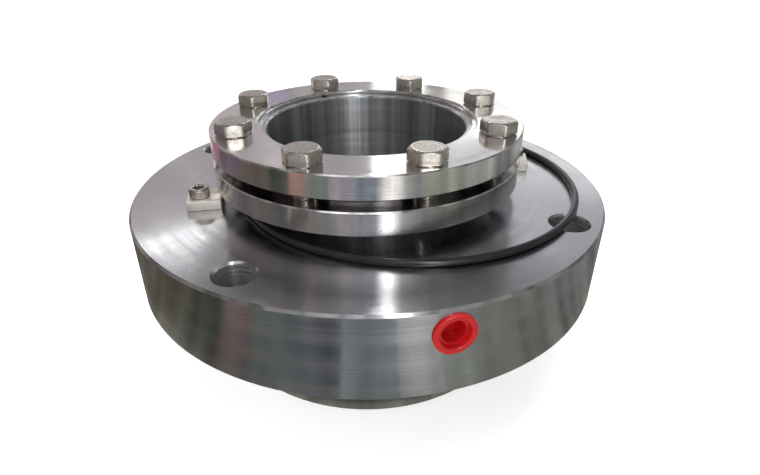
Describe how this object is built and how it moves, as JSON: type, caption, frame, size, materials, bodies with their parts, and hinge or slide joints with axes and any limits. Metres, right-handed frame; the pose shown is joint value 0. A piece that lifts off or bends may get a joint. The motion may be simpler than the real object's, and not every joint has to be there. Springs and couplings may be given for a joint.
{
  "type": "cartridge mechanical seal",
  "caption": "Cartridge shaft seal: thick round gland flange with a pilot spigot, a shaft sleeve held by a bolted shrink disc, swinging setting clips and a plugged side port.",
  "frame": {"origin": "on the shaft axis, in the plane of the gland face that bolts to the seal housing", "axes": "+Z along the shaft axis to the open air side, where the clamp rings are; -Y towards the side port, which lies 15 degrees off it; +X completes the frame"},
  "size_m": [0.25, 0.25, 0.1333],
  "materials": {
    "turned_steel": "turned stainless steel, satin on the rim and polished on the top face",
    "polished_steel": "fine turned and polished stainless steel",
    "screw_steel": "plain cold-formed stainless steel, slightly warm and dull",
    "clip_steel": "milled stainless steel",
    "spring_steel": "bright spring steel",
    "carbon": "lapped carbon graphite",
    "silicon_carbide": "ground and lapped ceramic",
    "black_rubber": "smooth black rubber with a soft sheen",
    "red_plastic": "moulded red plastic"
  },
  "bodies": {
    "gland": {"gland_flange": "turned_steel", "port_plug": "red_plastic", "housing_o_ring": "black_rubber", "clip_screws": "screw_steel", "throttle_bushing": "carbon", "bushing_snap_ring": "spring_steel", "face_snap_ring": "spring_steel", "anti_rotation_pins": "screw_steel", "closing_springs": "spring_steel", "stationary_face_o_ring": "black_rubber"},
    "floating_face": {"spring_plate": "turned_steel", "stationary_face": "carbon"},
    "rotor": {"shaft_sleeve": "polished_steel", "sleeve_o_ring": "black_rubber", "rotating_face": "silicon_carbide", "rotating_face_o_ring": "black_rubber", "drive_pins": "screw_steel", "taper_ring": "polished_steel", "lower_clamp_ring": "polished_steel", "upper_clamp_ring": "polished_steel", "clamp_bolts": "screw_steel"},
    "clip_left": {"setting_clip_left": "clip_steel"},
    "clip_right": {"setting_clip_right": "clip_steel"}
  },
  "joints": [
    {"name": "rotor_spin", "type": "hinge", "parent": "gland", "child": "rotor", "pos_m": [0, 0, 0], "axis": [0, 0, 1], "continuous": true},
    {"name": "face_float", "type": "slide", "parent": "gland", "child": "floating_face", "axis": [0, 0, 1], "range_m": [0, 0.002], "stiffness_N_per_m": 4000, "springref_m": -0.002, "deforming": ["closing_springs"]},
    {"name": "left_clip_swing", "type": "hinge", "parent": "gland", "child": "clip_left", "pos_m": [-0.08457, -0.03078, 0.042], "axis": [0, 0, 1], "range_deg": [-79, 101]},
    {"name": "right_clip_swing", "type": "hinge", "parent": "gland", "child": "clip_right", "pos_m": [0.08733, 0.02177, 0.042], "axis": [0, 0, 1], "range_deg": [-156, 24]}
  ]
}
